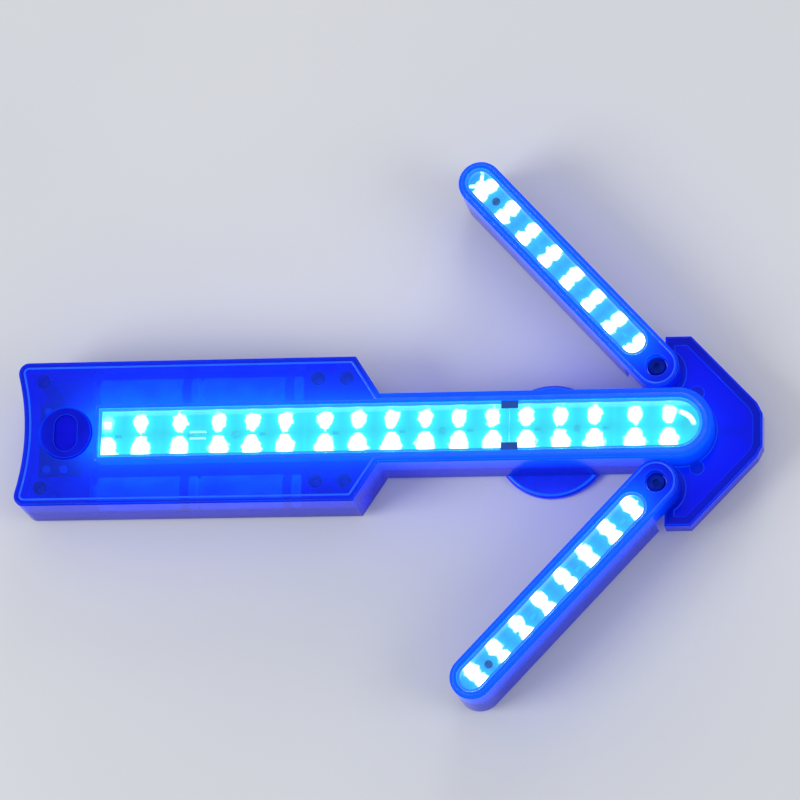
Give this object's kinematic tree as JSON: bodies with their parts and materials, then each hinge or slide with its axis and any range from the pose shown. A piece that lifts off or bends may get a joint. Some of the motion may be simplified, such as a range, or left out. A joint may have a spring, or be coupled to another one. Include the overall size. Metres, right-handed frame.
{
  "type": "folding led arrow light",
  "caption": "Hand-held lit arrow in clear blue plastic: wide battery grip, narrow lit stem, pointed head plate and lit arms that fold back beside the stem.",
  "frame": {"origin": "centre of the footprint at the level of the feet, lying on its back with the arms open", "axes": "+X points the way the arrow points, +Z out of the lit face, +Y completes the frame"},
  "size_m": [0.36, 0.2644, 0.0378],
  "materials": {
    "housing": "clear blue moulding, smooth",
    "main_lens": "clear with a light frosting",
    "arm_lens": "clear with a light frosting",
    "reflector": "satin white",
    "strip": "white solder mask",
    "lamp": "clear dome, lit",
    "chip": "black moulding",
    "screw": "zinc plated",
    "pivot": "black oxide",
    "washer": "plain",
    "cell": "plain wrapped sleeve",
    "contact": "plated spring steel",
    "circuit": "green solder mask",
    "clip": "dark moulding",
    "button": "soft dark key",
    "cup": "blue lacquer over steel",
    "magnet": "ferrite",
    "pad": "black rubber",
    "lead": "insulated wire"
  },
  "bodies": {
    "main_unit": {"rear_shell": "housing", "front_cover": "housing", "main_lens_left": "main_lens", "main_lens_right": "main_lens", "lens_clips": "clip", "main_reflector": "reflector", "main_board": "strip", "main_leds": "lamp", "main_resistors": "chip", "board_screws": "screw", "strip_jumper": "chip", "cell_upper_left": "cell", "cell_upper_right": "cell", "cell_lower_left": "cell", "cell_lower_right": "cell", "contact_springs": "contact", "contact_plates": "contact", "control_board": "circuit", "controller_chip": "chip", "driver_coil": "chip", "tact_switch": "chip", "switch_stalk": "washer", "button_bezel": "housing", "battery_door": "housing", "battery_door_screw": "screw", "cover_screws": "screw", "head_back_plate": "housing", "head_screws": "screw", "magnet_cup": "cup", "magnet_ring": "magnet", "magnet_screw": "screw", "rubber_feet": "pad", "supply_leads": "lead", "upper_pivot_screw": "pivot", "upper_pivot_washer": "washer", "lower_pivot_screw": "pivot", "lower_pivot_washer": "washer"},
    "upper_arm": {"upper_arm_shell": "housing", "upper_arm_cover": "housing", "upper_arm_lens": "arm_lens", "upper_arm_reflector": "reflector", "upper_arm_board": "strip", "upper_arm_leds": "lamp", "upper_arm_resistors": "chip", "upper_arm_screws": "screw"},
    "lower_arm": {"lower_arm_shell": "housing", "lower_arm_cover": "housing", "lower_arm_lens": "arm_lens", "lower_arm_reflector": "reflector", "lower_arm_board": "strip", "lower_arm_leds": "lamp", "lower_arm_resistors": "chip", "lower_arm_screws": "screw"},
    "button": {"power_button": "button"}
  },
  "joints": [
    {"name": "upper_arm_fold", "type": "hinge", "parent": "main_unit", "child": "upper_arm", "pos_m": [0.1307, 0.0284, 0.028], "axis": [0, 0, 1], "range_deg": [0, 47.3]},
    {"name": "lower_arm_fold", "type": "hinge", "parent": "main_unit", "child": "lower_arm", "pos_m": [0.1307, -0.0284, 0.028], "axis": [0, 0, 1], "range_deg": [-47.3, 0]},
    {"name": "power_press", "type": "slide", "parent": "main_unit", "child": "button", "axis": [0, 0, 1], "range_m": [-0.0012, 0], "stiffness_N_per_m": 350, "springref_m": 0.001}
  ]
}
